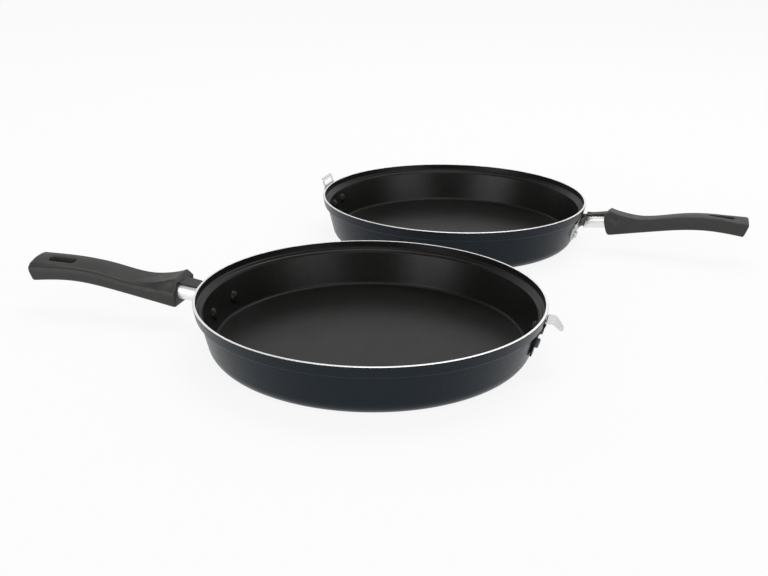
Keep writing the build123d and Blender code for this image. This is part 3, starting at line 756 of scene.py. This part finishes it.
lacquered = np.repeat((path[:-1, 1] < -hook_lacquer_drop) & (run[:-1] < hook_start), len(columns) - 1)
points[..., 2] += hook_pan["depth"]
hook_plate = make_piece(
    "hook_sheet", set_down(points, hook_pan), quads(len(path), len(columns), wrap=False),
    [sheet_steel, lacquer], lacquered, sharp=60,
)
thicken(hook_plate, sheet_thickness)
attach(hook_plate, "hook_pan")
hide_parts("hook_plate")


# ---- Loop plate ----
# A sheet of the same steel on the loop pan rises past the rim as a frame with a window, leaning
# out at its top, and takes the hook.
loop_pan = pans["loop"]
loop_half = 14.0
window_half = 11.0
window_low, window_high = 1.0, 5.7
frame_top = 8.66
frame_corner = 2.4
far_below = -60.0
loop_lacquer_drop = 1.0
loop_corners = (
    (wall_radius(plate_foot_drop) + 0.3, -plate_foot_drop), (wall_radius(11.5) + 0.2, -11.5),
    (128.6, -8.5), (130.3, 0.0), (130.4, 1.4), (133.2, 8.65),
)
path, run = bent_path(loop_corners, (0, 2.2, 2.2, 2.0, 1.5, 0), sheet_step)
low_row = np.argmin(np.abs(path[:, 1] - window_low))
high_row = np.argmin(np.abs(path[:, 1] - window_high))
on_wall = path[:, 1] < -plate_top_drop
wall_half = rounded_width(path[:, 1], -plate_foot_drop, -plate_top_drop + 0.1, plate_half_width, plate_corner)
frame_half = rounded_width(path[:, 1], far_below, frame_top, loop_half, frame_corner)
half = np.where(on_wall, wall_half, frame_half)
leg_steps = 5
leg = np.linspace(0, 1, leg_steps + 1)
inside = np.linspace(-window_half, window_half, 19)
across = np.concatenate((
    -half[:, None] + (half[:, None] - window_half) * leg[:-1],
    np.broadcast_to(inside, (len(half), len(inside))),
    window_half + (half[:, None] - window_half) * leg[1:],
), axis=1)
points = sheet_points(path, across, np.full(len(path), curve_share))
points[..., 2] += loop_pan["depth"]
faces = quads(len(path), across.shape[1], wrap=False)
face_row, face_column = np.divmod(np.arange(len(faces)), across.shape[1] - 1)
in_window = (face_column >= leg_steps) & (face_column < leg_steps + len(inside) - 1)
hole = (face_row >= low_row) & (face_row < high_row) & in_window
lacquered = path[face_row, 1] < -loop_lacquer_drop
loop_plate = make_piece(
    "loop_sheet", set_down(points, loop_pan), faces[~hole],
    [sheet_steel, lacquer], lacquered[~hole], sharp=60,
)
thicken(loop_plate, sheet_thickness)
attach(loop_plate, "loop_pan")
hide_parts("loop_plate")


# ---- Hinge rivets ----
# Two aluminium rivets hold each hinge plate. Their heads are coated with the inside of the pan,
# and the wall's lacquer lies thin over their tails outside.
plate_rivet_side, plate_rivet_drop = 12.5, 18.0
tail_standoff = 0.5
tail_colour = (0.045, 0.052, 0.060, 1)
lacquered_tail = new_finish("lacquer_on_bright_rivet", tail_colour, 0.0, 0.3, Specular_IOR_Level=0.6)
add_bump(lacquered_tail, [(add_noise(lacquered_tail, 0.001, 2), 0.00001)], 0.4)
for pan_name, pan in pans.items():
    rings = rivet_rings(
        pan["depth"], plate_rivet_side, plate_rivet_drop, sheet_thickness + tail_standoff, opposite=True,
    )
    rivets = make_rivets(f"{pan_name}_plate_rivet_pair", pan, lacquered_tail, rings)
    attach(rivets, f"{pan_name}_pan")
    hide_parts(f"{pan_name}_plate_rivets")


# ---- Camera ----
# Stands in front and to the right of the hook pan and looks a little down, with a slight roll.
# Its lens is worked out from a focal length in pixels of the rendered image.
camera = bpy.data.objects.new("camera", bpy.data.cameras.new("camera"))
bpy.context.scene.collection.objects.link(camera)
bpy.context.scene.camera = camera
heading, pitch, roll = radians(104.8), 0.3551, 0.0146
forward = Vector((cos(heading) * cos(pitch), sin(heading) * cos(pitch), -sin(pitch)))
level_right = Vector((sin(heading), -cos(heading), 0))
level_up = level_right.cross(forward)
right = level_right * cos(roll) + level_up * sin(roll)
up = level_up * cos(roll) - level_right * sin(roll)
stand = Matrix.Translation((0.1880, -0.6727, 0.3036))
camera.matrix_world = stand @ Matrix((right, up, -forward)).transposed().to_4x4()
image_width = 768
focal_pixels = 1012.0
camera.data.sensor_width = 36
camera.data.lens = 36 * focal_pixels / image_width
camera.data.shift_x = -0.5 / image_width
camera.data.shift_y = 0.5 / image_width


# ---- Studio ----
# A white floor and a white surround, a large soft lamp low at each side of the camera and one
# above. The camera and the metal see the floor mostly as plain white. The surround is white to
# the camera, and its light on the object changes with height and from side to side.
def add_lamp(name, place, aim, size, power):
    """A square soft lamp that faces a point."""
    lamp = bpy.data.objects.new(name, bpy.data.lights.new(name, "AREA"))
    lamp.data.size = size
    lamp.data.energy = power
    lamp.visible_camera = False
    bpy.context.scene.collection.objects.link(lamp)
    toward_aim = (Vector(aim) - Vector(place)).to_track_quat("-Z", "Y")
    lamp.matrix_world = Matrix.Translation(place) @ toward_aim.to_matrix().to_4x4()


paper_glow_to_camera = 0.88
paper_glow_to_metal = 0.8
floor_mesh = bpy.data.meshes.new("floor")
reach = 30.0
floor_corners = [(-reach, -reach, 0), (reach, -reach, 0), (reach, reach, 0), (-reach, reach, 0)]
floor_mesh.from_pydata(floor_corners, [], [(0, 1, 2, 3)])
floor = bpy.data.objects.new("floor", floor_mesh)
bpy.context.scene.collection.objects.link(floor)
paper = bpy.data.materials.new("white_paper")
paper.use_nodes = True
nodes, links = paper.node_tree.nodes, paper.node_tree.links
paper_shader = nodes["Principled BSDF"]
paper_shader.inputs["Base Color"].default_value = (0.86, 0.86, 0.86, 1)
paper_shader.inputs["Roughness"].default_value = 1.0
paper_shader.inputs["Specular IOR Level"].default_value = 0.0
glow = nodes.new("ShaderNodeEmission")
glow.inputs["Strength"].default_value = 1.0
sight = nodes.new("ShaderNodeLightPath")
glossy = nodes.new("ShaderNodeMath")
glossy.operation = "MULTIPLY"
glossy.inputs[1].default_value = paper_glow_to_metal
links.new(sight.outputs["Is Glossy Ray"], glossy.inputs[0])
share = nodes.new("ShaderNodeMath")
share.operation = "MULTIPLY_ADD"
share.inputs[1].default_value = paper_glow_to_camera
links.new(sight.outputs["Is Camera Ray"], share.inputs[0])
links.new(glossy.outputs[0], share.inputs[2])
mix = nodes.new("ShaderNodeMixShader")
links.new(share.outputs[0], mix.inputs["Fac"])
links.new(paper_shader.outputs["BSDF"], mix.inputs[1])
links.new(glow.outputs["Emission"], mix.inputs[2])
links.new(mix.outputs["Shader"], nodes["Material Output"].inputs["Surface"])
floor_mesh.materials.append(paper)

world = bpy.data.worlds.new("studio")
bpy.context.scene.world = world
world.use_nodes = True
nodes, links = world.node_tree.nodes, world.node_tree.links


def grey_ramp(source, stops):
    """Turns a number into grey levels at the given places, for the surround."""
    ramp = nodes.new("ShaderNodeValToRGB")
    elements = ramp.color_ramp.elements
    while len(elements) < len(stops):
        elements.new(0.5)
    for element, (stop, grey) in zip(elements, stops):
        element.position = stop
        element.color = (grey, grey, grey, 1)
    links.new(source, ramp.inputs["Fac"])
    return ramp.outputs["Color"]


surround = nodes["Background"]
surround.inputs["Color"].default_value = (1, 1, 1, 1)
sight = nodes.new("ShaderNodeLightPath")
place = nodes.new("ShaderNodeTexCoord")
split = nodes.new("ShaderNodeSeparateXYZ")
links.new(place.outputs["Generated"], split.inputs["Vector"])
by_height = grey_ramp(split.outputs["Z"], ((0.42, 1.05), (0.76, 0.25), (0.86, 1.0), (0.97, 1.7)))
toward = nodes.new("ShaderNodeVectorMath")
toward.operation = "DOT_PRODUCT"
toward.inputs[1].default_value = (-cos(heading), -sin(heading), 0)
links.new(place.outputs["Generated"], toward.inputs[0])
halved = nodes.new("ShaderNodeMath")
halved.operation = "MULTIPLY_ADD"
halved.inputs[1].default_value = 0.5
halved.inputs[2].default_value = 0.5
links.new(toward.outputs["Value"], halved.inputs[0])
by_side = grey_ramp(halved.outputs[0], (
    (0.015, 0.5), (0.04, 0.85), (0.25, 1.0), (0.45, 0.25),
    (0.66, 0.18), (0.8, 2.3), (0.92, 2.3), (0.965, 0.04),
))
dimmed = nodes.new("ShaderNodeMath")
dimmed.operation = "MULTIPLY"
links.new(by_height, dimmed.inputs[0])
links.new(by_side, dimmed.inputs[1])
level = nodes.new("ShaderNodeMath")
level.operation = "MAXIMUM"
links.new(dimmed.outputs[0], level.inputs[0])
links.new(sight.outputs["Is Camera Ray"], level.inputs[1])
links.new(level.outputs[0], surround.inputs["Strength"])
add_lamp("lamp_right", (1.6, -0.2, 0.6), (0.05, 0.1, 0.03), 0.9, 1)
add_lamp("lamp_left", (-0.85, -1.3, 0.40), (0.0, 0.1, 0.02), 1.0, 4)
add_lamp("lamp_above", (0.2, 0.9, 1.8), (0.0, 0.15, 0.0), 1.4, 14)

bpy.context.scene.view_settings.view_transform = "Standard"
